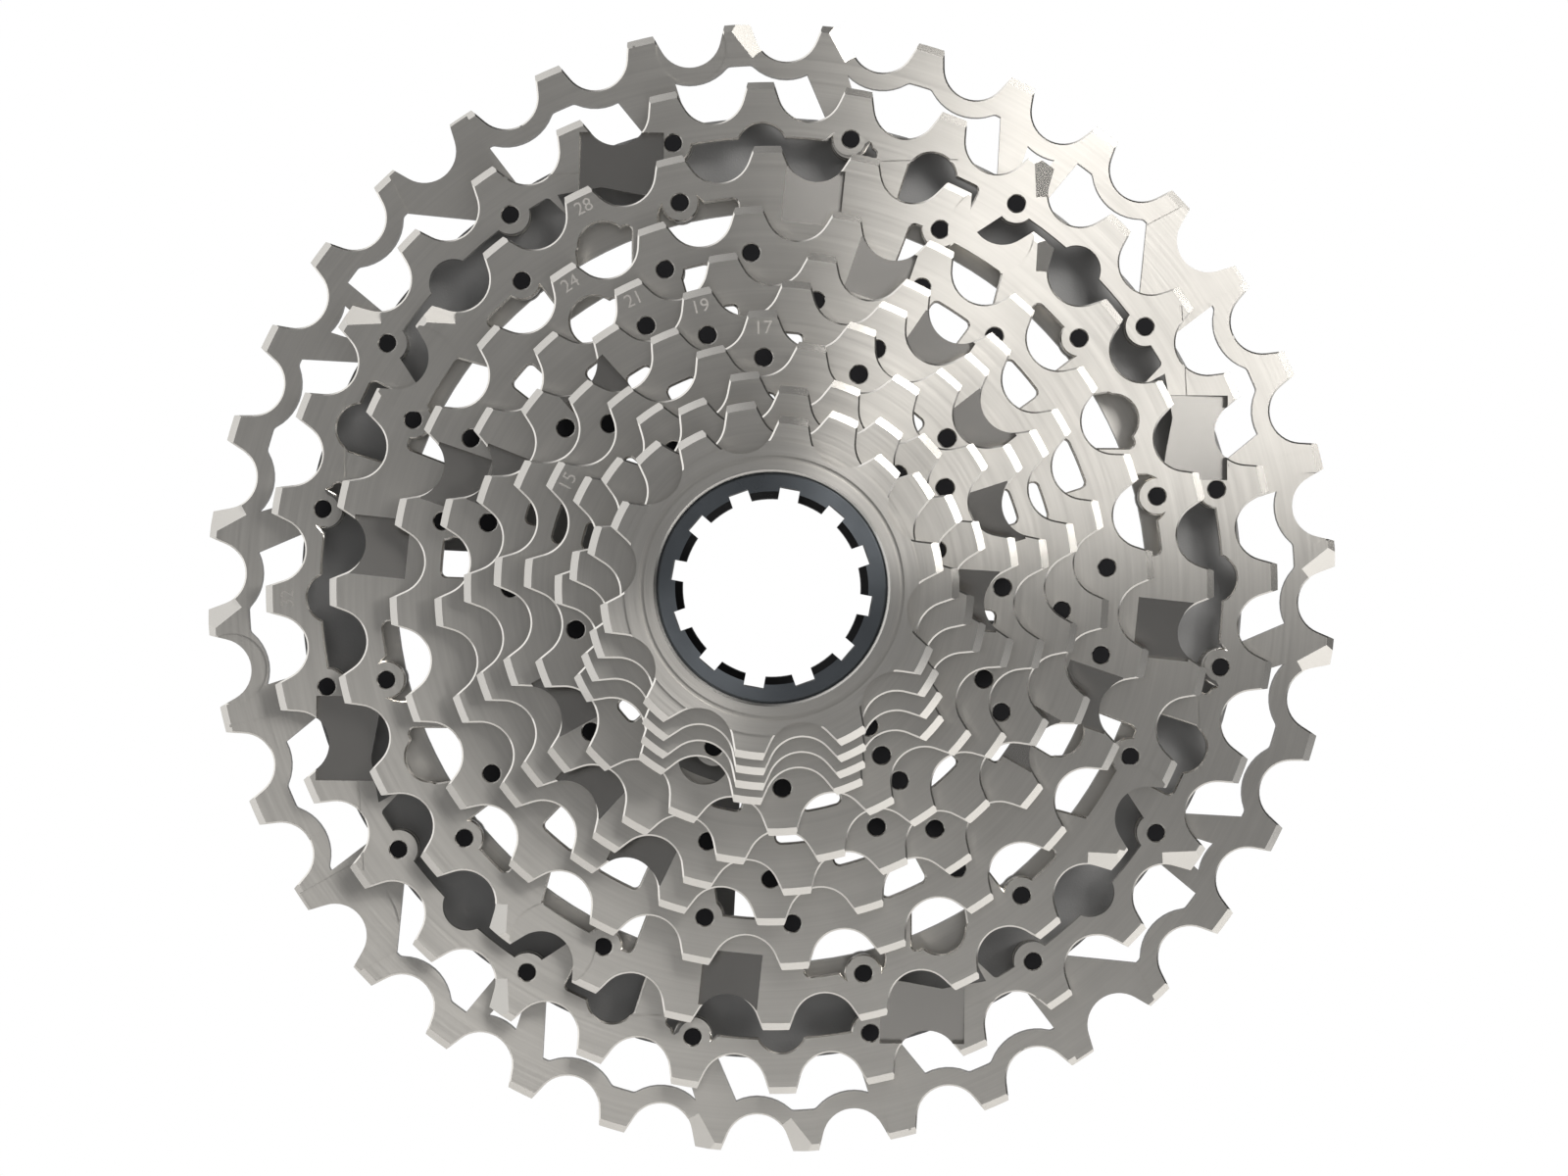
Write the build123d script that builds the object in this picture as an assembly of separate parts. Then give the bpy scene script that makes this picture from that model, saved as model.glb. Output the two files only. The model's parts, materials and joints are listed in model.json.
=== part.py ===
from build123d import *
from dataclasses import dataclass
from math import acos, asin, atan2, ceil, cos, degrees, floor, hypot, pi, radians, sin
import os

# A twelve-speed bicycle cassette with 10 to 36 teeth, in millimetres.
# The cassette's axis is Y. Its outer side, with the smallest sprocket, faces -Y.
# Each piece is drawn flat, with local +Z along the axis towards the smallest sprocket
# and z = 0 at the rear face of the carrier's hub, and is turned onto Y when it is written.
# Angles are in degrees from +X towards the global +Z, which is up.

# ---- chain and sprocket row ----
CHAIN_PITCH = 12.7
SPROCKET_THICKNESS = 1.6
SPROCKET_SPACING = 3.5
LARGEST_REAR_Z = 4.2  # rear face of the largest sprocket

# ---- tooth form ----
ROOT_DROP = 3.95  # from the pitch circle down to the gullet floor
GULLET_RADIUS = 4.15
TOOTH_HEIGHT = 4.4
LARGE_TOOTH_HEIGHT = 5.0
LARGE_TEETH = 32  # sprockets with at least this many teeth have the taller tooth
TIP_WIDTH = 3.4
TIP_BEVEL_LENGTH = 0.95  # along the radius
TIP_BEVEL_DEPTH = 0.55  # along the axis
EDGE_CHAMFER = 0.22

# ---- plates ----
RIM_WIDTH = 2.3  # metal left inside the gullets
WAVE_LIMIT = 0.4  # the rim's inner waves stop this far inside the root circle
RIM_CORNER = 0.8
WINDOW_REACH = 0.2  # a window starts this far inside the root circle of the next sprocket
BAND_GAP = 0.3  # a wide closed band starts this far inside it
BAND_OVERLAP = 1.3  # a plate reaches this far inside the root circle of the next sprocket
WINDOW_CORNER = 0.7
FLARED_AREA = 180.0  # openings smaller than this get a bevelled front edge
WAVE_RADIUS = 3.2
WAVE_MARGIN = 0.85  # how much of a wave must lie inside its window
LOBE_RADIUS = 2.5

# ---- joining pins ----
PIN_RADIUS = 1.03
PIN_SHOULDER_RADIUS = 1.75
PIN_RECESS = 0.12
PIN_HOLE_BEVEL = 0.24
PIN_INSET = 1.6  # from the root circle in to the pin circle

# ---- shift ramps ----
RAMP_WIDTH = 7.6
RAMP_LENGTH = 7.2
RAMP_DROP = 1.9  # from the root circle in to the middle of the ramp
RAMP_SLOPE = 7.0
SCOOP_WIDTH = 8.0
SCOOP_LENGTH = 11.0
SCOOP_TURN = 70.0
SHAVE_WIDTH = 3.0
SHAVE_LENGTH = 6.0
SHAVE_SLOPE = 28.0
SHAVE_TURN = 35.0
SHAVE_RISE = 2.9  # from the root circle out to the middle of the cut
POCKET_DEPTH = 0.35
SCORE_WIDTH = 0.35
SCORE_DEPTH = 0.15

# ---- small one-piece cluster and lockring ----
CLUSTER_BORE_RADIUS = 13.65
CLUSTER_SEAT_RADIUS = 14.05
CLUSTER_SEAT_DEPTH = 4.0
CLUSTER_FACE_RADIUS = 17.9
CLUSTER_FACE_RISE = 0.3
CLUSTER_GROOVE_RADIUS = 15.85
CLUSTER_GROOVE_WIDTH = 0.6
CLUSTER_GROOVE_DEPTH = 0.3
CLUSTER_RIM_BEVEL = 0.35  # on the mouth of the lockring's seat
NECK_DROP = 0.8  # from a sprocket's root circle in to the neck behind it
NECK_OVERLAP = 0.2  # of a neck into the plates at both its ends
LOCKRING_TUBE_RADIUS = 13.6
LOCKRING_HEAD_RADIUS = 14.0
LOCKRING_REAR_Z = 28.5
LOCKRING_RECESS = 0.2  # the lockring's face lies this far behind the cluster's
LOCKRING_EDGE_BEVEL = 0.3
LOCKRING_BORE_RADIUS = 10.9
LOCKRING_MOUTH_RADIUS = 11.75  # where its flat face ends and the steep mouth begins
LOCKRING_MOUTH_DEPTH = 1.5
LOCKRING_NOTCH_RADIUS = 12.3
LOCKRING_NOTCHES = 12
LOCKRING_NOTCH_PHASE = 19.5
LOCKRING_NOTCH_SPAN = 11.5
LOCKRING_NOTCH_HEIGHT = 2.4
LOCKRING_SPLINE_LENGTH = 6.0
SPLINE_RUNOUT = 1.0  # from the end of the splines to the start of the thread
THREAD_MINOR_RADIUS = 12.7
SNAP_RING_THICKNESS = 1.0
SNAP_RING_RADIUS = 15.0
SNAP_RING_PLAY = 0.3  # behind the small cluster
SNAP_GROOVE_DEPTH = 0.4
SNAP_RING_GAP = 40.0  # degrees

# ---- rear carrier ----
CARRIER_RING_INNER = 53.0
CARRIER_RING_OUTER = 61.7
CARRIER_PLATE_REAR_Z = 2.0
CARRIER_ARMS = 4
CARRIER_ARM_WIDTH = 6.4
CARRIER_ARM_TAPER = 1.4  # how much wider an arm is at the hub
CARRIER_ARM_RING_OVERLAP = 3.0
CARRIER_ARM_HUB_OVERLAP = 6.0
CARRIER_CORNER = 3.0
CARRIER_ARM_RING_ANGLE = 81.0
CARRIER_ARM_HUB_ANGLE = 59.0
CARRIER_HUB_RADIUS = 21.5
CARRIER_HUB_LENGTH = 9.5
CARRIER_HUB_BEVEL = 0.6
DRIVER_BORE_RADIUS = 17.2
DRIVER_GROOVES = 9
DRIVER_GROOVE_WIDTH = 2.2
DRIVER_GROOVE_DEPTH = 0.9


@dataclass
class Sprocket:
    """One row of teeth: where its first tooth points, and what is cut into its plate."""

    teeth: int
    phase: float
    pins: tuple = ()  # angles of the pins that join it to the next larger sprocket
    windows: tuple = ()  # (start, end, lean of the outer edge) in degrees
    ramps: tuple = ()  # angles of the ramps under the gullets
    scoops: tuple = ()  # (angle, lean) of the long slanted recesses
    shaved: tuple = ()  # angles of the teeth with one flank cut back
    cups: tuple = ()  # (angle, radius, drop) of the round recesses over gullets
    pockets: tuple = ()  # outlines of the flat recesses, as (angle, radius) points
    scores: tuple = ()  # (start, end) of the fine step lines, as (angle, radius) points
    slots: tuple = ()  # outlines of more windows, as (angle, radius) points

    @property
    def step(self):
        return 360 / self.teeth

    @property
    def root(self):
        return CHAIN_PITCH / (2 * sin(pi / self.teeth)) - ROOT_DROP

    @property
    def tip(self):
        return self.root + (LARGE_TOOTH_HEIGHT if self.teeth >= LARGE_TEETH else TOOTH_HEIGHT)

    @property
    def pin_circle(self):
        return self.root - PIN_INSET

    def tooth(self, number):
        return self.phase + number * self.step

    def tooth_pins(self, *numbers):
        self.pins = tuple(self.tooth(number) for number in numbers)
        return self


def quarters(*items, angles=2):
    """Repeat angles, or tuples that start with some angles, every quarter turn."""
    turned = []
    for turn in (0, 90, 180, 270):
        for item in items:
            if isinstance(item, tuple):
                turned.append((*[angle + turn for angle in item[:angles]], *item[angles:]))
            else:
                turned.append(item + turn)
    return tuple(turned)


def outlines(*shapes):
    """Repeat outlines of (angle, radius) points every quarter turn."""
    return tuple(
        tuple((angle + turn, radius) for angle, radius in shape)
        for turn in (0, 90, 180, 270)
        for shape in shapes
    )


# ---- the sprockets, from the largest to the smallest ----
S36 = Sprocket(
    36,
    3.5,
    shaved=quarters(3.5, 83.5),
    cups=quarters((8.5, 4.6, 1.7), angles=1),
    pockets=outlines(
        [(32.8, 75), (33.4, 64), (37.5, 63.8), (40.5, 64.6), (43.3, 66.2), (44.2, 68), (42.6, 75)]
    ),
    scores=outlines([(14.5, 62), (14.3, 74)], [(28.5, 65.5), (28.5, 69.2)], [(39, 64.4), (38, 69.2)]),
)
S32 = Sprocket(
    32,
    12.5,
    windows=quarters((-12.5, 11, 1), (27.8, 35.5, 2), (39, 60.5, -3), (62.5, 72, 0), (79, 87, -3)),
    slots=outlines([(16.3, 53), (19, 54.2), (23, 56.6), (28.6, 58.2), (28.6, 52.4), (17, 52.4)]),
    scoops=quarters((19.5, 0), angles=1),
    shaved=quarters(57.5),
    scores=outlines([(66.5, 60.6), (75.5, 57.2)], [(22, 58.2), (34.6, 64.6)], [(15, 61.5), (17, 56)]),
).tooth_pins(*range(0, 32, 2))
S28 = Sprocket(
    28,
    13.4,
    windows=quarters((5, 16.5, 0), (24, 33, -3), (37.5, 47, 0), (51, 61, 3), (65, 69, 0)),
    ramps=quarters(84),
    shaved=quarters(52),
    cups=quarters((58.4, 5.6, 2.8), angles=1),
).tooth_pins(*[first + 7 * quarter for quarter in range(4) for first in (0, 2, 4)])
S24 = Sprocket(
    24,
    3.5,
    windows=(
        (18, 27, 0),
        (36, 44, 0),
        (53, 60.5, 0),
        (101, 106, 0),
        (118, 127.5, 0),
        (137, 142, 0),
        (171, 178, 0),
        (226, 233, 0),
        (238, 246, 0),
        (259, 267, 2),
        (290, 298, 0),
        (329, 338, 0),
    ),
    ramps=(71, 161, 341),
).tooth_pins(0, 3, 4, 6, 7, 10, 11, 14, 17, 18, 20, 23)
S21 = Sprocket(
    21,
    12.7,
    windows=((14, 22, 0), (97, 102, 0), (125, 131, 0), (195, 200, 0), (283, 290, 0), (322, 329, 0)),
    ramps=(55.6, 158.4, 244.1, 330),
).tooth_pins(4, 6, 9, 15, 17, 20)
S19 = Sprocket(
    19,
    9.5,
    windows=((15, 23, 0), (83, 89, 0), (119, 125, 0), (160, 165, 0), (271, 279, 0), (308, 317, 0)),
    ramps=(37.9, 227.4, 132),
).tooth_pins(3, 5, 7, 9, 13, 15, 17)
S17 = Sprocket(
    17,
    7.2,
    pins=(0.2, 40.5, 67.8, 92, 134.5, 218.5, 303.5, 336.8),
    windows=((47, 54, 0), (110, 118, 0), (157, 168, 0), (254, 262, 0), (278, 288, 0), (350, 354, 0)),
    ramps=(17.8, 208.4),
)
S15 = Sprocket(
    15,
    8.5,
    pins=(30, 69.6, 192, 233, 273, 303.3),
    windows=((89, 101, 0), (119, 128, 0), (137, 147, 0), (160, 168, 0), (217, 224, 0), (242, 255, 0)),
    ramps=(356.5,),
)
S13 = Sprocket(13, 14.2, pins=(13, 42, 125.5, 208, 250, 305))
S12 = Sprocket(12, 23.6)
S11 = Sprocket(11, 1.4)
S10 = Sprocket(10, 10.4)
ROW = [S36, S32, S28, S24, S21, S19, S17, S15, S13, S12, S11, S10]

# ---- the largest sprocket's arms, in one quarter: rim start and end, foot start and end ----
S36_ARMS = quarters(
    (11, 18.3, 10, 15),
    (32.7, 44.5, 32, 37),
    (54.2, 56.3, 54.8, 57.5),
    (60.3, 64.2, 58.5, 60.6),
    (82, 86.7, 78, 82.4),
    angles=4,
)
S36_FOOT_RADIUS = 60.0
BAND_INNER_32 = 48.8


def polar(radius, angle):
    return (radius * cos(radians(angle)), radius * sin(radians(angle)))


def rear_z(sprocket):
    return LARGEST_REAR_Z + SPROCKET_SPACING * ROW.index(sprocket)


def front_z(sprocket):
    return rear_z(sprocket) + SPROCKET_THICKNESS


def at(radius, angle, z):
    """A local frame on a plate: x runs clockwise, y outwards and z along the axis."""
    return Rot(0, 0, angle - 90) * Pos(0, radius, z)


def ring(outer, inner, low, high):
    """A plain round tube between two heights, or a solid disc if it has no inner radius."""
    face = Circle(outer) - Circle(inner) if inner else Circle(outer)
    return Pos(0, 0, low) * extrude(face, high - low)


def toothed_face(sprocket):
    """The outline of the teeth: a tip, a flank, a round gullet and a flank for each tooth."""
    centre = sprocket.root + GULLET_RADIUS
    half_tip = degrees(asin(TIP_WIDTH / 2 / sprocket.tip))
    corner_angle = sprocket.step / 2 - half_tip
    across = sprocket.tip * sin(radians(corner_angle))
    outwards = sprocket.tip * cos(radians(corner_angle)) - centre
    leave = degrees(atan2(outwards, across)) - degrees(acos(GULLET_RADIUS / hypot(across, outwards)))
    edges = []
    for number in range(sprocket.teeth):
        tooth = sprocket.tooth(number)
        gullet = tooth + sprocket.step / 2
        middle = Vector(*polar(centre, gullet))
        first = middle + Vector(*polar(GULLET_RADIUS, gullet - 90 + leave))
        floor = Vector(*polar(sprocket.root, gullet))
        last = middle + Vector(*polar(GULLET_RADIUS, gullet + 90 - leave))
        tip_start = polar(sprocket.tip, tooth - half_tip)
        tip_end = polar(sprocket.tip, tooth + half_tip)
        next_tip = polar(sprocket.tip, tooth + sprocket.step - half_tip)
        edges.append(ThreePointArc(tip_start, polar(sprocket.tip, tooth), tip_end))
        edges.append(Line(tip_end, first))
        edges.append(ThreePointArc(first, floor, last))
        edges.append(Line(last, next_tip))
    return Face(Wire(edges))


def wave_face(sprocket):
    """The space inside the rim, whose edge follows the gullets at an even distance."""
    centre = sprocket.root + GULLET_RADIUS
    scallops = Sketch() + [
        Pos(*polar(centre, sprocket.tooth(number + 0.5))) * Circle(GULLET_RADIUS + RIM_WIDTH)
        for number in range(sprocket.teeth)
    ]
    space = Circle(sprocket.root - WAVE_LIMIT) - scallops
    return fillet(space.vertices(), RIM_CORNER)


def sector(start, end, low, high, lean=0.0):
    """A piece of a flat ring between two angles, whose outer edge is turned by lean."""
    middle = (start + end) / 2
    corners = [polar(low, start), polar(high, start + lean), polar(high, end + lean), polar(low, end)]
    outer = ThreePointArc(corners[1], polar(high, middle + lean), corners[2])
    inner = ThreePointArc(corners[3], polar(low, middle), corners[0])
    return Face(Wire([Line(corners[0], corners[1]), outer, Line(corners[2], corners[3]), inner]))


def discs(radius, circle, angles):
    return Sketch() + [Pos(*polar(circle, angle)) * Circle(radius) for angle in angles]


def window_face(sprocket, smaller, start, end, lean):
    """A window: a rounded sector whose outer edge rises a little under each tooth."""
    rim = sprocket.root - RIM_WIDTH
    window = sector(start, end, smaller.root - WINDOW_REACH, rim, lean)
    window = fillet(window.vertices(), WINDOW_CORNER)
    margin = degrees(WAVE_RADIUS / sprocket.root) * WAVE_MARGIN
    first = ceil((start + lean + margin - sprocket.phase) / sprocket.step)
    last = floor((end + lean - margin - sprocket.phase) / sprocket.step)
    teeth = [sprocket.tooth(number) for number in range(first, last + 1)]
    if teeth:
        window = window + discs(WAVE_RADIUS, sprocket.root - WAVE_LIMIT - WAVE_RADIUS, teeth)
    return window


def plate_space(sprocket, smaller):
    """What is open inside a plate: the middle and the windows, but not the lobes of the pins."""
    windows = [window_face(sprocket, smaller, *window) for window in sprocket.windows]
    slots = [make_face(Polyline(*[polar(r, a) for a, r in slot], close=True)) for slot in sprocket.slots]
    space = Sketch() + Circle(smaller.root - BAND_OVERLAP) + windows + slots
    space = space - discs(LOBE_RADIUS, smaller.pin_circle, smaller.pins)
    return space - discs(LOBE_RADIUS, sprocket.pin_circle, sprocket.pins)


def banded_plate_space(sprocket, smaller, band_radius):
    """The same for the plate that keeps a wider closed band inside its windows."""
    return plate_space(sprocket, smaller) - (Circle(smaller.root - BAND_GAP) - Circle(band_radius))


def open_plate_space(sprocket, smaller, arms):
    """The same for the largest plate, which has a wavy rim and separate arms out to it."""
    space = wave_face(sprocket)
    for rim_start, rim_end, foot_start, foot_end in arms:
        corners = [
            polar(sprocket.root, rim_start),
            polar(sprocket.root, rim_end),
            polar(S36_FOOT_RADIUS, foot_end),
            polar(S36_FOOT_RADIUS, foot_start),
        ]
        space = space - make_face(Polyline(*corners, close=True))
    return space - discs(LOBE_RADIUS, smaller.pin_circle, smaller.pins)


def tip_limit(sprocket):
    """A disc with bevelled rims, which shapes the tooth tips."""
    disc = Cylinder(sprocket.tip, SPROCKET_THICKNESS, align=(Align.CENTER, Align.CENTER, Align.MIN))
    rims = disc.edges().filter_by(GeomType.CIRCLE).sort_by(Axis.Z)
    disc = chamfer(rims[-1], TIP_BEVEL_DEPTH, TIP_BEVEL_LENGTH, reference=disc.faces().sort_by(Axis.Z)[1])
    return disc


def falling_cut(width, length, slope):
    """A block whose underside starts level with the plate at x = 0 and falls along +x."""
    height = 2 * SPROCKET_THICKNESS
    return Rot(0, slope, 0) * Pos(width / 2, 0, height / 2) * Box(width, length, height)


def ramp_cuts(sprocket):
    """Ramps under gullets, slanted recesses and cut-back tooth flanks, all on the front face."""
    top = SPROCKET_THICKNESS
    cuts = []
    for angle in sprocket.ramps:
        place = at(sprocket.root - RAMP_DROP, angle, top) * Pos(-RAMP_WIDTH / 2, 0, 0)
        cuts.append(place * falling_cut(RAMP_WIDTH, RAMP_LENGTH, RAMP_SLOPE))
    for angle, lean in sprocket.scoops:
        place = at(sprocket.root - RIM_WIDTH, angle, top) * Rot(0, 0, SCOOP_TURN + lean)
        place = place * Pos(-SCOOP_WIDTH / 2, 0, 0)
        cuts.append(place * falling_cut(SCOOP_WIDTH, SCOOP_LENGTH, RAMP_SLOPE))
    for angle in sprocket.shaved:
        place = at(sprocket.root + SHAVE_RISE, angle, top) * Rot(0, 0, SHAVE_TURN)
        cuts.append(place * falling_cut(SHAVE_WIDTH, SHAVE_LENGTH, SHAVE_SLOPE))
    return cuts


def pocket_cuts(sprocket):
    """Flat recesses of one depth: round cups over gullets, and free outlines."""
    cuts = []
    for angle, radius, drop in sprocket.cups:
        place = at(sprocket.root + GULLET_RADIUS - drop, angle, SPROCKET_THICKNESS)
        cuts.append(place * Cylinder(radius, 2 * POCKET_DEPTH))
    for outline in sprocket.pockets:
        corners = [polar(radius, angle) for angle, radius in outline]
        pocket = extrude(make_face(Polyline(*corners, close=True)), 2 * POCKET_DEPTH)
        cuts.append(Pos(0, 0, SPROCKET_THICKNESS - POCKET_DEPTH) * pocket)
    return cuts


def score_cut(start, end):
    """A fine straight step line between two points given as (angle, radius)."""
    first = Vector(*polar(start[1], start[0]))
    last = Vector(*polar(end[1], end[0]))
    middle = (first + last) / 2
    turn = degrees(atan2(last.Y - first.Y, last.X - first.X))
    groove = Box((last - first).length, SCORE_WIDTH, 2 * SCORE_DEPTH)
    return Pos(middle.X, middle.Y, SPROCKET_THICKNESS) * Rot(0, 0, turn) * groove


def pin_hole(pin_circle, angle):
    """A through hole with a small bevel at the front face."""
    hole = Pos(0, 0, SPROCKET_THICKNESS / 2) * Cylinder(PIN_RADIUS, SPROCKET_THICKNESS + 1)
    bevel = Pos(0, 0, SPROCKET_THICKNESS - PIN_HOLE_BEVEL / 2) * Cone(
        PIN_RADIUS, PIN_RADIUS + PIN_HOLE_BEVEL, PIN_HOLE_BEVEL
    )
    return Pos(*polar(pin_circle, angle)) * (hole + bevel)


def toothed_blank(sprocket):
    """A toothed disc with its front edges and its tooth tips bevelled."""
    blank = extrude(toothed_face(sprocket), SPROCKET_THICKNESS)
    front = blank.faces().sort_by(Axis.Z)[-1]
    return chamfer(front.edges(), EDGE_CHAMFER) & tip_limit(sprocket)


def window_flares(space):
    """Cutters that bevel the front edges of the windows, but not of the open middle."""
    place = Pos(0, 0, SPROCKET_THICKNESS - EDGE_CHAMFER)
    small = [face for face in space.faces() if face.area < FLARED_AREA]
    return [place * extrude(face, EDGE_CHAMFER + 0.02, taper=-45) for face in small]


def make_plate(sprocket, smaller, space):
    """A flat sprocket with its open spaces, ramps and pin holes, in its place on the axis."""
    plate = toothed_blank(sprocket) - Pos(0, 0, -1) * extrude(space, SPROCKET_THICKNESS + 2)
    if sprocket.windows:
        plate = plate - window_flares(space)
    plate = plate - ramp_cuts(sprocket) - pocket_cuts(sprocket)
    plate = plate - [score_cut(start, end) for start, end in sprocket.scores]
    plate = plate - [pin_hole(sprocket.pin_circle, angle) for angle in sprocket.pins]
    plate = plate - [pin_hole(smaller.pin_circle, angle) for angle in smaller.pins]
    return Pos(0, 0, rear_z(sprocket)) * plate


def make_sprocket(sprocket):
    smaller = ROW[ROW.index(sprocket) + 1]
    if sprocket is S36:
        space = open_plate_space(sprocket, smaller, S36_ARMS)
    elif sprocket is S32:
        space = banded_plate_space(sprocket, smaller, BAND_INNER_32)
    else:
        space = plate_space(sprocket, smaller)
    return make_plate(sprocket, smaller, space)


def cluster_front():
    """Everything cut into the front of the small cluster: bore, seat, bevel and groove."""
    groove_outer = CLUSTER_GROOVE_RADIUS + CLUSTER_GROOVE_WIDTH / 2
    groove = ring(groove_outer, groove_outer - CLUSTER_GROOVE_WIDTH, -CLUSTER_GROOVE_DEPTH, 1)
    seat = ring(CLUSTER_SEAT_RADIUS, 0, -CLUSTER_SEAT_DEPTH, 20)
    bevel = Cone(CLUSTER_SEAT_RADIUS, CLUSTER_SEAT_RADIUS + CLUSTER_RIM_BEVEL, CLUSTER_RIM_BEVEL)
    return [groove, seat, Pos(0, 0, -CLUSTER_RIM_BEVEL / 2) * bevel, Cylinder(CLUSTER_BORE_RADIUS, 200)]


def make_cluster():
    """The four smallest sprockets, machined from one blank with the lockring's seat."""
    front = front_z(S10) + CLUSTER_FACE_RISE
    face_disc = extrude(toothed_face(S10) & Circle(CLUSTER_FACE_RADIUS), CLUSTER_FACE_RISE)
    cluster = Pos(0, 0, front_z(S10)) * face_disc
    for larger, smaller in ((S13, S12), (S12, S11), (S11, S10)):
        low = front_z(larger) - NECK_OVERLAP
        cluster = cluster + ring(smaller.root - NECK_DROP, 0, low, rear_z(smaller) + NECK_OVERLAP)
    cluster = cluster + [
        Pos(0, 0, rear_z(sprocket)) * toothed_blank(sprocket) for sprocket in (S13, S12, S11, S10)
    ]
    cluster = cluster - [Pos(0, 0, front) * cut for cut in cluster_front()]
    return cluster - [Pos(0, 0, rear_z(S13)) * pin_hole(S13.pin_circle, angle) for angle in S13.pins]


def snap_groove(outer):
    """A ring from the floor of the tube's groove out to a radius, behind the small cluster."""
    low = rear_z(S13) - SNAP_RING_PLAY - SNAP_RING_THICKNESS
    return ring(outer, LOCKRING_TUBE_RADIUS - SNAP_GROOVE_DEPTH, low, low + SNAP_RING_THICKNESS)


def lockring_notches(front):
    """The cutters of the notches that take the lockring tool."""
    width = 2 * LOCKRING_NOTCH_RADIUS * sin(radians(LOCKRING_NOTCH_SPAN / 2))
    notch = Box(width, LOCKRING_NOTCH_HEIGHT, LOCKRING_SPLINE_LENGTH + 2 * SPLINE_RUNOUT + 1)
    middle = front - LOCKRING_SPLINE_LENGTH / 2 - SPLINE_RUNOUT + 0.5
    reach = LOCKRING_NOTCH_RADIUS - LOCKRING_NOTCH_HEIGHT / 2
    step = 360 / LOCKRING_NOTCHES
    turns = [LOCKRING_NOTCH_PHASE + number * step for number in range(LOCKRING_NOTCHES)]
    return [at(reach, turn, middle) * notch for turn in turns]


def make_lockring():
    """A flanged tube with a splined mouth at the front and a thread bore at the rear."""
    front = front_z(S10) + CLUSTER_FACE_RISE - LOCKRING_RECESS
    shoulder = front_z(S10) + CLUSTER_FACE_RISE - CLUSTER_SEAT_DEPTH
    spline_rear = front - LOCKRING_SPLINE_LENGTH
    profile = [
        (THREAD_MINOR_RADIUS, LOCKRING_REAR_Z),
        (LOCKRING_TUBE_RADIUS - LOCKRING_EDGE_BEVEL, LOCKRING_REAR_Z),
        (LOCKRING_TUBE_RADIUS, LOCKRING_REAR_Z + LOCKRING_EDGE_BEVEL),
        (LOCKRING_TUBE_RADIUS, shoulder),
        (LOCKRING_HEAD_RADIUS, shoulder),
        (LOCKRING_HEAD_RADIUS, front - LOCKRING_EDGE_BEVEL),
        (LOCKRING_HEAD_RADIUS - LOCKRING_EDGE_BEVEL, front),
        (LOCKRING_MOUTH_RADIUS, front),
        (LOCKRING_BORE_RADIUS, front - LOCKRING_MOUTH_DEPTH),
        (LOCKRING_BORE_RADIUS, spline_rear),
        (THREAD_MINOR_RADIUS, spline_rear - SPLINE_RUNOUT),
    ]
    outline = make_face(Polyline(*[(radius, 0, z) for radius, z in profile], close=True))
    return revolve(outline, Axis.Z) - lockring_notches(front) - snap_groove(20)


def make_snap_ring():
    """The open ring in the tube's groove that keeps the lockring in the cassette."""
    gap = sector(-SNAP_RING_GAP / 2, SNAP_RING_GAP / 2, 5, 20)
    return snap_groove(SNAP_RING_RADIUS) - extrude(gap, 60)


def carrier_face():
    """The carrier's plate seen from the front: an outer ring, leaning arms and the hub."""
    face = Circle(CARRIER_RING_OUTER) - Circle(CARRIER_RING_INNER) + Circle(CARRIER_HUB_RADIUS)
    for number in range(CARRIER_ARMS):
        turn = number * 360 / CARRIER_ARMS
        outer_radius = CARRIER_RING_INNER + CARRIER_ARM_RING_OVERLAP
        inner_radius = CARRIER_HUB_RADIUS - CARRIER_ARM_HUB_OVERLAP
        outer = Vector(*polar(outer_radius, CARRIER_ARM_RING_ANGLE + turn))
        inner = Vector(*polar(inner_radius, CARRIER_ARM_HUB_ANGLE + turn))
        across = (outer - inner).normalized().rotate(Axis.Z, 90) * (CARRIER_ARM_WIDTH / 2)
        wide = across * CARRIER_ARM_TAPER
        corners = [outer + across, outer - across, inner - wide, inner + wide]
        face = face + make_face(Polyline(*corners, close=True))
    inside = [
        vertex
        for vertex in face.vertices()
        if CARRIER_HUB_RADIUS - 1 < hypot(vertex.X, vertex.Y) < CARRIER_RING_INNER + 1
    ]
    return fillet(inside, CARRIER_CORNER)


def make_carrier():
    """The dark rear carrier: a plate on arms, and the hub that fits the driver body."""
    thickness = LARGEST_REAR_Z - CARRIER_PLATE_REAR_Z
    plate = Pos(0, 0, CARRIER_PLATE_REAR_Z) * extrude(carrier_face(), thickness)
    hub = Cylinder(CARRIER_HUB_RADIUS, CARRIER_HUB_LENGTH, align=(Align.CENTER, Align.CENTER, Align.MIN))
    hub = chamfer(hub.edges().filter_by(GeomType.CIRCLE), CARRIER_HUB_BEVEL)
    groove = Box(DRIVER_GROOVE_WIDTH, 2 * DRIVER_GROOVE_DEPTH, 60)
    turns = [number * 360 / DRIVER_GROOVES for number in range(DRIVER_GROOVES)]
    grooves = [at(DRIVER_BORE_RADIUS, turn, 0) * groove for turn in turns]
    holes = [Pos(*polar(S32.pin_circle, angle)) * Cylinder(PIN_RADIUS, 20) for angle in S32.pins]
    return plate + hub - Cylinder(DRIVER_BORE_RADIUS, 60) - grooves - holes


def make_pins(smaller, rear, larger):
    """The pins that join a sprocket to the next larger one, with a spacing shoulder between."""
    pin = ring(PIN_RADIUS, 0, rear, front_z(smaller) - PIN_RECESS)
    pin = pin + ring(PIN_SHOULDER_RADIUS, 0, front_z(larger), rear_z(smaller))
    return Compound([Pos(*polar(smaller.pin_circle, angle)) * pin.solid() for angle in smaller.pins])


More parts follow.
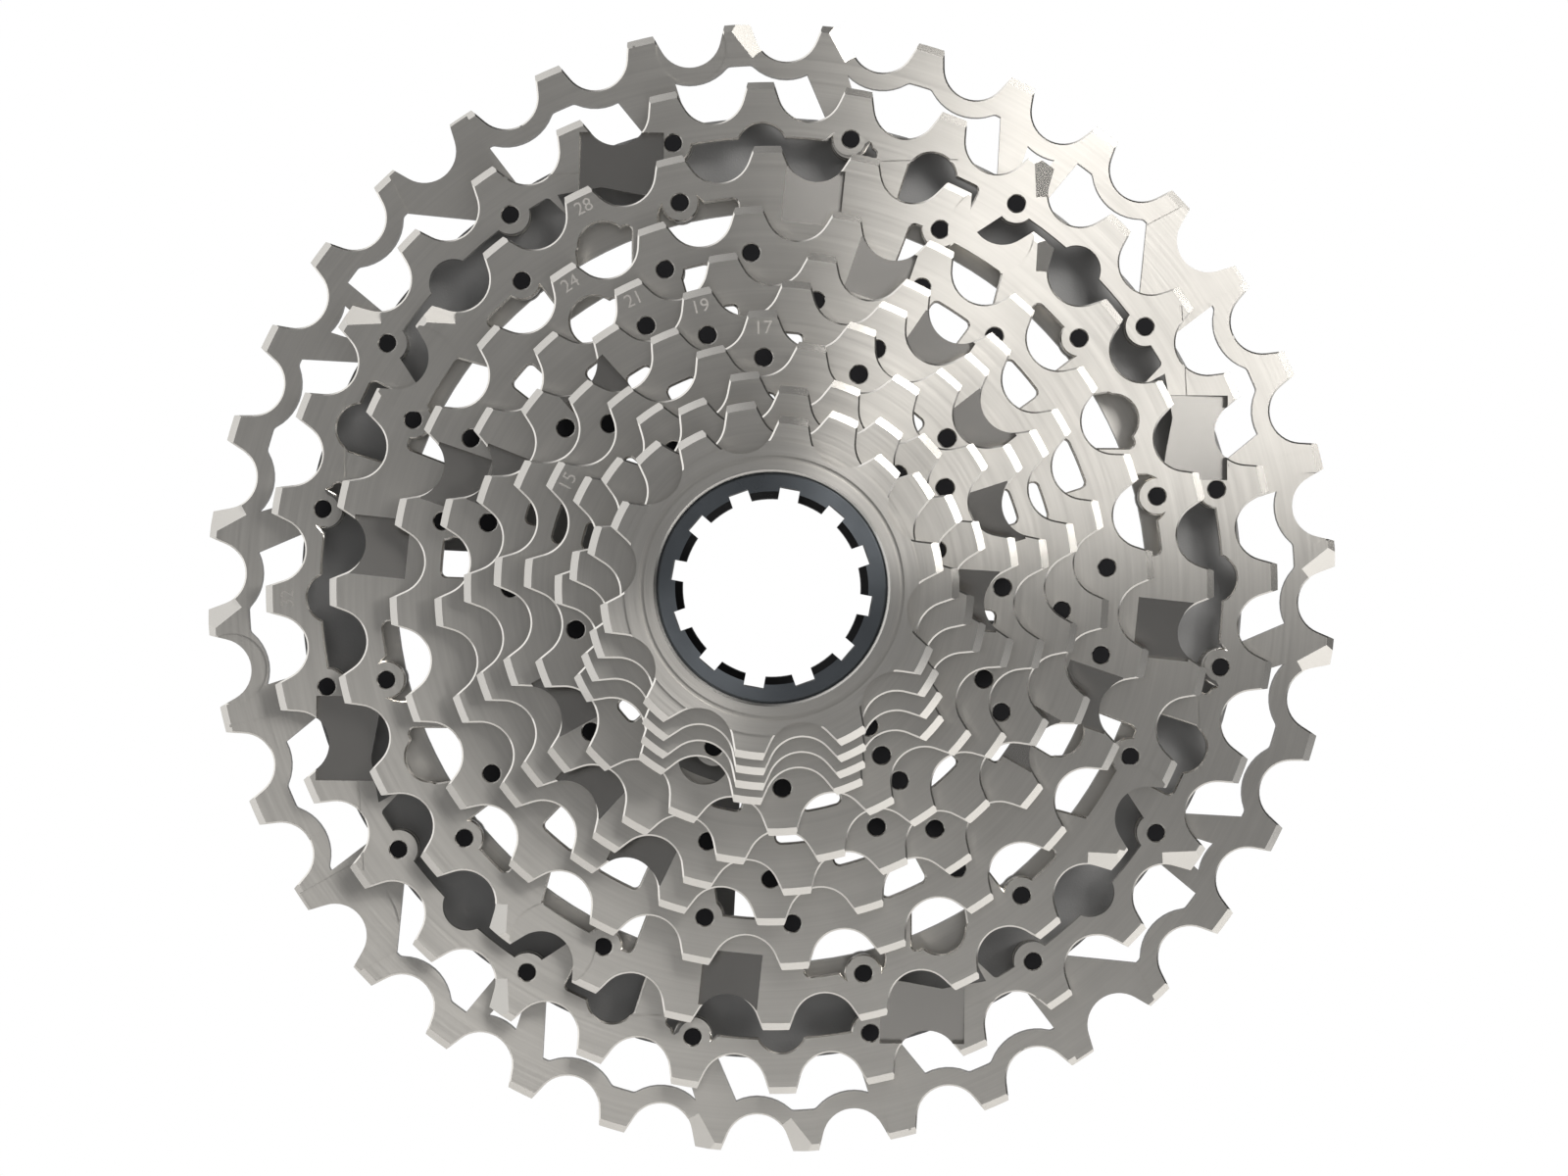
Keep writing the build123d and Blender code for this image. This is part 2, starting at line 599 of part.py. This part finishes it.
def make_all():
    """Every piece by its name."""
    parts = {"rear_carrier": make_carrier()}
    for sprocket in ROW[:8]:
        parts[f"sprocket_{sprocket.teeth}t"] = make_sprocket(sprocket)
    parts["small_sprocket_cluster"] = make_cluster()
    for larger, smaller in zip(ROW[:8], ROW[1:9]):
        rear = CARRIER_PLATE_REAR_Z + 0.3 if larger is S36 else rear_z(larger) + 0.2
        parts[f"pins_{larger.teeth}t_{smaller.teeth}t"] = make_pins(smaller, rear, larger)
    parts["lockring_tube"] = make_lockring()
    parts["lockring_snap_ring"] = make_snap_ring()
    return parts


def write_all():
    os.makedirs("parts", exist_ok=True)
    for name, shape in make_all().items():
        export_step(Location(Plane.XZ) * shape, f"parts/{name}.step")


write_all()
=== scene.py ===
import json
from math import cos, pi, radians, sin

import bpy
from mathutils import Matrix, Vector


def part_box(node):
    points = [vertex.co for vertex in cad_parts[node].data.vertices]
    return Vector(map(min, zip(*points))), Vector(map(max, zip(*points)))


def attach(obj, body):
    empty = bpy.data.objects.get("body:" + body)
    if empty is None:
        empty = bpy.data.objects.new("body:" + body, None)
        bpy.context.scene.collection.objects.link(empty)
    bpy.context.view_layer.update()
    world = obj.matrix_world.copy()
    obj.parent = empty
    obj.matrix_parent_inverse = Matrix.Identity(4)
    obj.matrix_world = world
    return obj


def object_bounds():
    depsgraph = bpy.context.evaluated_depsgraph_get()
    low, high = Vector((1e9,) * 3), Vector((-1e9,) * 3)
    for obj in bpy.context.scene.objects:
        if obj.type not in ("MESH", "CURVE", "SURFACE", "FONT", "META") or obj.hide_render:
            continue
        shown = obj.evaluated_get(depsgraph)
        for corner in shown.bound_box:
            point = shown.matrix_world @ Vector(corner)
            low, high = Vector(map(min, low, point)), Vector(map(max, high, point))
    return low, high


# A twelve-speed bicycle cassette on a white studio ground, seen along its axis.
# The frame's axis is Y and the small sprockets face -Y, towards the camera.

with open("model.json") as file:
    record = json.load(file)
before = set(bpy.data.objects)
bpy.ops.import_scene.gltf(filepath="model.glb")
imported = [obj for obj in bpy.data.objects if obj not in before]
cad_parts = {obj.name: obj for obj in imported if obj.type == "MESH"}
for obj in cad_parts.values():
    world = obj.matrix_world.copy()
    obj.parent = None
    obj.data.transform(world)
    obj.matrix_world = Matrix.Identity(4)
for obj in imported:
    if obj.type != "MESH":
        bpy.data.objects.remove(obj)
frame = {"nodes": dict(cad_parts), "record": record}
cad_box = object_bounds()
scene = bpy.context.scene
nodes = frame["nodes"]

IMAGE_WIDTH = 1600
SENSOR_WIDTH = 36.0
LARGEST_FRONT_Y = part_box("sprocket_36t")[0].y
CAMERA_DISTANCE = 0.54  # from the front face of the largest sprocket
FOCAL_PIXELS = 7800 * CAMERA_DISTANCE  # 7.8 pixels for each millimetre on that face
CENTRE_OFFSET = 12.5  # pixels from the picture's middle to the axis

WHITE = (1.0, 1.0, 1.0, 1.0)
TOWARDS_LAMPS = (0.77, 0, 0.64)  # the side, seen along the axis, where both lamps stand
LAMP_COLOUR = (1.0, 0.985, 0.96)
LAMP_SIZE = 0.34
SIDE_LAMP = (0.55, -0.6, 0.24)
TOP_LAMP = (0.32, -0.6, 0.5)
SIDE_POWER = 4.6  # watts
TOP_POWER = 5.2
FLOOR_Z = cad_box[0].z - 0.16
FLOOR_RADIUS = 0.45
FLOOR_SIDES = 128

# How square to the axis a face is, as the cosine of its tilt.
FLAT_COSINE = 0.9965
RAMP_COSINE = 0.97
INWARD_COSINE = 0.3  # a wall that faces the axis at least this squarely is inside something

STEEL_COLOUR = (0.64, 0.62, 0.585)
# Painted shade: the colour of the shallow ramps is darkened to half.
RAMP_PAINTED_SHADE = (0.5, 0.5, 0.505, 1)
# Black oxide of the pins, and the near-black painted shade on the lockring's inner walls.
BLACK_OXIDE_AND_PAINTED_SHADE = (0.012, 0.012, 0.013)


# ---- camera, first ----
def make_camera():
    camera = bpy.data.objects.new("camera", bpy.data.cameras.new("camera"))
    camera.location = (0, LARGEST_FRONT_Y - CAMERA_DISTANCE, 0)
    camera.rotation_euler = (pi / 2, 0, 0)
    camera.data.sensor_width = SENSOR_WIDTH
    camera.data.lens = FOCAL_PIXELS / IMAGE_WIDTH * SENSOR_WIDTH
    camera.data.shift_x = CENTRE_OFFSET / IMAGE_WIDTH
    camera.data.clip_start = 0.01
    camera.data.dof.use_dof = False
    scene.collection.objects.link(camera)
    scene.camera = camera


# ---- a short way to write node trees ----
class Tree:
    """Builds nodes in one tree; a value given as a node output is linked, any other is set."""

    def __init__(self, tree):
        self.tree = tree
        tree.nodes.clear()

    def add(self, kind, inputs=None, **settings):
        node = self.tree.nodes.new(kind)
        for name, value in settings.items():
            setattr(node, name, value)
        for name, value in (inputs or {}).items():
            self.set(node.inputs[name], value)
        return node

    def set(self, socket, value):
        if isinstance(value, bpy.types.NodeSocket):
            self.tree.links.new(value, socket)
        else:
            socket.default_value = value

    def math(self, operation, first, second=0.0, third=0.0):
        node = self.add("ShaderNodeMath", operation=operation)
        for socket, value in zip(node.inputs, (first, second, third)):
            self.set(socket, value)
        return node.outputs[0]

    def vector(self, operation, first, second=(0, 0, 0)):
        node = self.add("ShaderNodeVectorMath", operation=operation)
        self.set(node.inputs[0], first)
        self.set(node.inputs[1], second)
        return node.outputs["Value" if operation in ("DOT_PRODUCT", "LENGTH") else "Vector"]

    def ramp(self, factor, stops):
        node = self.add("ShaderNodeValToRGB", {"Fac": factor})
        elements = node.color_ramp.elements
        while len(elements) < len(stops):
            elements.new(0.5)
        for element, (place, value) in zip(elements, stops):
            element.position = place
            element.color = value if isinstance(value, tuple) else (value, value, value, 1)
        return node.outputs["Color"]

    def noise(self, vector, scale, detail=3.0, roughness=0.5):
        inputs = {"Vector": vector, "Scale": scale, "Detail": detail, "Roughness": roughness}
        return self.add("ShaderNodeTexNoise", inputs).outputs["Fac"]

    def mix_value(self, factor, first, second):
        inputs = {"Factor": factor, "A": first, "B": second}
        return self.add("ShaderNodeMix", inputs, data_type="FLOAT").outputs["Result"]

    def mix_colour(self, factor, first, second, blend="MIX"):
        node = self.add("ShaderNodeMix", data_type="RGBA", blend_type=blend)
        self.set(node.inputs[0], factor)
        self.set(node.inputs[6], first)
        self.set(node.inputs[7], second)
        return node.outputs[2]


# ---- studio ----
def make_world():
    """Soft surroundings: quiet in front, brighter round the sides, dim behind the two lamps."""
    world = bpy.data.worlds.new("studio")
    world.use_nodes = True
    scene.world = world
    t = Tree(world.node_tree)
    direction = t.add("ShaderNodeTexCoord").outputs["Generated"]
    split = t.add("ShaderNodeSeparateXYZ", {"Vector": direction})
    sideways = t.math("SUBTRACT", 1.0, t.math("ABSOLUTE", split.outputs["Y"]))
    light = t.ramp(sideways, [(0.0, 0.27), (0.2, 0.28), (0.48, 0.95), (1.0, 1.5)])
    towards_lamps = t.vector("DOT_PRODUCT", direction, TOWARDS_LAMPS)
    shade = t.ramp(towards_lamps, [(0.2, 1.0), (0.7, 0.05)])
    light = t.mix_colour(1.0, light, shade, "MULTIPLY")
    background = t.add("ShaderNodeBackground", {"Color": light, "Strength": 1.0})
    white = t.add("ShaderNodeBackground", {"Color": WHITE, "Strength": 1.0})
    seen = t.add("ShaderNodeLightPath").outputs["Is Camera Ray"]
    mix = t.add("ShaderNodeMixShader", {"Fac": seen})
    t.set(mix.inputs[1], background.outputs[0])
    t.set(mix.inputs[2], white.outputs[0])
    t.add("ShaderNodeOutputWorld", {"Surface": mix.outputs[0]})


def make_area(name, place, power):
    """A square soft light that faces the middle of the object."""
    light = bpy.data.lights.new(name, "AREA")
    light.size = LAMP_SIZE
    light.energy = power
    light.color = LAMP_COLOUR
    lamp = bpy.data.objects.new(name, light)
    lamp.location = place
    target = Vector((0, LARGEST_FRONT_Y, 0))
    lamp.rotation_euler = (target - Vector(place)).to_track_quat("-Z", "Y").to_euler()
    scene.collection.objects.link(lamp)


def make_floor():
    """A round pale table top below the object, small enough not to show in its front faces."""
    rim = [2 * pi * side / FLOOR_SIDES for side in range(FLOOR_SIDES)]
    points = [(FLOOR_RADIUS * cos(turn), FLOOR_RADIUS * sin(turn), FLOOR_Z) for turn in rim]
    mesh = bpy.data.meshes.new("floor")
    mesh.from_pydata(points, [], [tuple(range(FLOOR_SIDES))])
    floor = bpy.data.objects.new("floor", mesh)
    scene.collection.objects.link(floor)
    material, t = surface("pale floor")
    grain = t.noise(t.add("ShaderNodeNewGeometry").outputs["Position"], 60.0, 4.0, 0.6)
    tone = t.ramp(grain, [(0.3, 0.9), (0.7, 0.94)])
    shader = t.add("ShaderNodeBsdfPrincipled", {"Base Color": tone, "Roughness": 0.9})
    t.add("ShaderNodeOutputMaterial", {"Surface": shader.outputs[0]})
    mesh.materials.append(material)


# ---- materials ----
def surface(name):
    material = bpy.data.materials.new(name)
    material.use_nodes = True
    return material, Tree(material.node_tree)


def radial_tangent(t, position):
    """The direction away from the axis, with a little of the axis for the walls."""
    outwards = t.vector("MULTIPLY", position, (1, 0, 1))
    outwards = t.vector("NORMALIZE", outwards)
    return t.vector("ADD", outwards, (0, 0.05, 0))


def axis_radius(t, position):
    return t.vector("LENGTH", t.vector("MULTIPLY", position, (1, 0, 1)))


def straightness(t):
    """The cosine of a face's tilt away from the axis."""
    normal = t.add("ShaderNodeNewGeometry").outputs["True Normal"]
    return t.math("ABSOLUTE", t.vector("DOT_PRODUCT", normal, (0, 1, 0)))


def facing_axis(t):
    """One on faces square to the axis, zero on anything tilted by some degrees."""
    return t.math("GREATER_THAN", straightness(t), FLAT_COSINE)


def facing_inwards(t, position):
    """One on walls that face the axis, such as the mouth of the lockring, zero elsewhere."""
    normal = t.add("ShaderNodeNewGeometry").outputs["True Normal"]
    outwards = t.vector("NORMALIZE", t.vector("MULTIPLY", position, (1, 0, 1)))
    return t.math("LESS_THAN", t.vector("DOT_PRODUCT", normal, outwards), -INWARD_COSINE)


def slightly_tilted(t):
    """One on the shallow ramps, which are pressed and not brushed and get a painted shade, zero
    elsewhere.
    """
    straight = straightness(t)
    below = t.math("LESS_THAN", straight, FLAT_COSINE)
    return t.math("MULTIPLY", below, t.math("GREATER_THAN", straight, RAMP_COSINE))


def make_steel(name, colour, roughness, anisotropic, ring_scale):
    """Nickel-plated steel, brushed in rings round the axis."""
    material, t = surface(name)
    position = t.add("ShaderNodeNewGeometry").outputs["Position"]
    radius = axis_radius(t, position)
    rings = t.add("ShaderNodeCombineXYZ", {"X": radius}).outputs[0]
    along = t.vector("ADD", rings, t.vector("MULTIPLY", position, (0.02, 0.3, 0.02)))
    brushed = t.noise(along, ring_scale, 6.0, 0.7)
    cloudy = t.noise(position, 90.0, 3.0, 0.5)
    grain = t.noise(position, 2600.0, 2.0, 0.6)
    flat = facing_axis(t)
    tone = t.ramp(cloudy, [(0.3, 0.93), (0.7, 1.0)])
    tint = t.mix_colour(1.0, (*colour, 1), tone, "MULTIPLY")
    streak = t.ramp(brushed, [(0.3, 0.9), (0.7, 1.0)])
    tint = t.mix_colour(flat, tint, t.mix_colour(1.0, tint, streak, "MULTIPLY"))
    # Painted shade on the shallow ramps: their colour is multiplied down to half.
    ramp_shaded_tint = t.mix_colour(1.0, tint, RAMP_PAINTED_SHADE, "MULTIPLY")
    tint = t.mix_colour(slightly_tilted(t), tint, ramp_shaded_tint)
    rough = t.math("MULTIPLY_ADD", brushed, 0.12, roughness - 0.06)
    rough = t.mix_value(flat, roughness - 0.08, rough)
    height = t.mix_value(0.35, brushed, grain)
    strength = t.mix_value(flat, 0.01, 0.06)
    bump = t.add("ShaderNodeBump", {"Strength": strength, "Distance": 0.00003, "Height": height})
    shader = t.add(
        "ShaderNodeBsdfPrincipled",
        {
            "Base Color": tint,
            "Metallic": 1.0,
            "Roughness": rough,
            "Anisotropic": anisotropic,
            "Tangent": radial_tangent(t, position),
            "Normal": bump.outputs[0],
        },
    )
    t.add("ShaderNodeOutputMaterial", {"Surface": shader.outputs[0]})
    return material


def make_coated(name, colour, roughness, metallic, grain_scale, bump_strength, anisotropic=0.0):
    """A coated or plain metal with a fine even grain and faint rubbing marks.

    A turned one, with some anisotropy, gets a near-black painted shade on its inner walls.
    """
    material, t = surface(name)
    position = t.add("ShaderNodeNewGeometry").outputs["Position"]
    grain = t.noise(position, grain_scale, 4.0, 0.6)
    cloudy = t.noise(position, 120.0, 3.0, 0.5)
    light = tuple(channel * 1.35 for channel in colour)
    tint = t.mix_colour(cloudy, (*colour, 1), (*light, 1))
    if anisotropic:
        # Painted shade: the lockring's walls that face the axis are coloured near black.
        tint = t.mix_colour(facing_inwards(t, position), tint, (*BLACK_OXIDE_AND_PAINTED_SHADE, 1))
    rough = t.math("MULTIPLY_ADD", cloudy, 0.14, roughness - 0.07)
    bumps = {"Strength": bump_strength, "Distance": 0.00005, "Height": grain}
    bump = t.add("ShaderNodeBump", bumps)
    shader = t.add(
        "ShaderNodeBsdfPrincipled",
        {
            "Base Color": tint,
            "Metallic": metallic,
            "Roughness": rough,
            "Anisotropic": anisotropic,
            "Tangent": radial_tangent(t, position),
            "Normal": bump.outputs[0],
        },
    )
    t.add("ShaderNodeOutputMaterial", {"Surface": shader.outputs[0]})
    return material


def make_materials():
    """The material of each slot that the record names."""
    grey = (0.2, 0.2, 0.2)
    slate = (0.12, 0.132, 0.145)
    spring = (0.3, 0.29, 0.27)
    return {
        "stamped_steel": make_steel("brushed plate steel", STEEL_COLOUR, 0.33, 0.8, 2400.0),
        "machined_steel": make_steel("turned steel", STEEL_COLOUR, 0.3, 0.8, 3400.0),
        "black_pin": make_coated("black pin", BLACK_OXIDE_AND_PAINTED_SHADE, 0.55, 1.0, 5000.0, 0.2),
        "dark_anodised": make_coated("dark carrier", grey, 0.45, 0.9, 4000.0, 0.35),
        "black_anodised": make_coated("black lockring", slate, 0.3, 1.0, 6000.0, 0.12, 0.75),
        "spring_steel": make_coated("spring steel", spring, 0.38, 1.0, 4000.0, 0.15),
    }


# ---- tooth counts pressed into one tooth of some sprockets ----
NUMERAL_HEIGHT = 0.0024
NUMERAL_DEPTH = 0.00002
NUMERAL_RISE = 0.0021  # from the root circle out to the middle of the numeral
ROOT_DROP = 3.95  # millimetres, from the pitch circle down to the gullet floor
CHAIN_PITCH = 12.7  # millimetres
NUMERAL_ANGLES = {32: 181.25, 28: 116.26, 24: 123.5, 21: 115.56, 19: 104.24, 17: 91.9, 15: 152.5}


def make_numeral(teeth, angle, material):
    """The number of teeth, lying on the plate's front face with its top away from the axis."""
    text = bpy.data.curves.new(f"count_{teeth}", "FONT")
    text.body = str(teeth)
    text.size = NUMERAL_HEIGHT
    text.align_x = "CENTER"
    text.align_y = "CENTER"
    text.extrude = NUMERAL_DEPTH
    text.materials.append(material)
    numeral = bpy.data.objects.new(f"count_{teeth}", text)
    root = (CHAIN_PITCH / (2 * sin(pi / teeth)) - ROOT_DROP) / 1000
    radius = root + NUMERAL_RISE
    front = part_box(f"sprocket_{teeth}t")[0].y
    turn = Matrix.Rotation(pi / 2 - radians(angle), 4, "Y") @ Matrix.Rotation(pi / 2, 4, "X")
    place = Vector((radius * cos(radians(angle)), front, radius * sin(radians(angle))))
    numeral.matrix_world = Matrix.Translation(place) @ turn
    scene.collection.objects.link(numeral)
    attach(numeral, "cassette")


def make_numerals():
    stamped = make_coated("pressed numeral", (0.3, 0.29, 0.275), 0.6, 1.0, 5000.0, 0.3)
    for teeth, angle in NUMERAL_ANGLES.items():
        make_numeral(teeth, angle, stamped)


def paint_nodes(materials):
    """Give each CAD node the material of its slot."""
    slots = {part["node"]: part["material_slot"] for part in frame["record"]["subparts"]}
    for name, node in nodes.items():
        node.data.materials.clear()
        node.data.materials.append(materials[slots[name]])


make_camera()
make_world()
make_area("key_side", SIDE_LAMP, SIDE_POWER)
make_area("key_top", TOP_LAMP, TOP_POWER)
make_floor()
paint_nodes(make_materials())
make_numerals()
scene.view_settings.view_transform = "Standard"
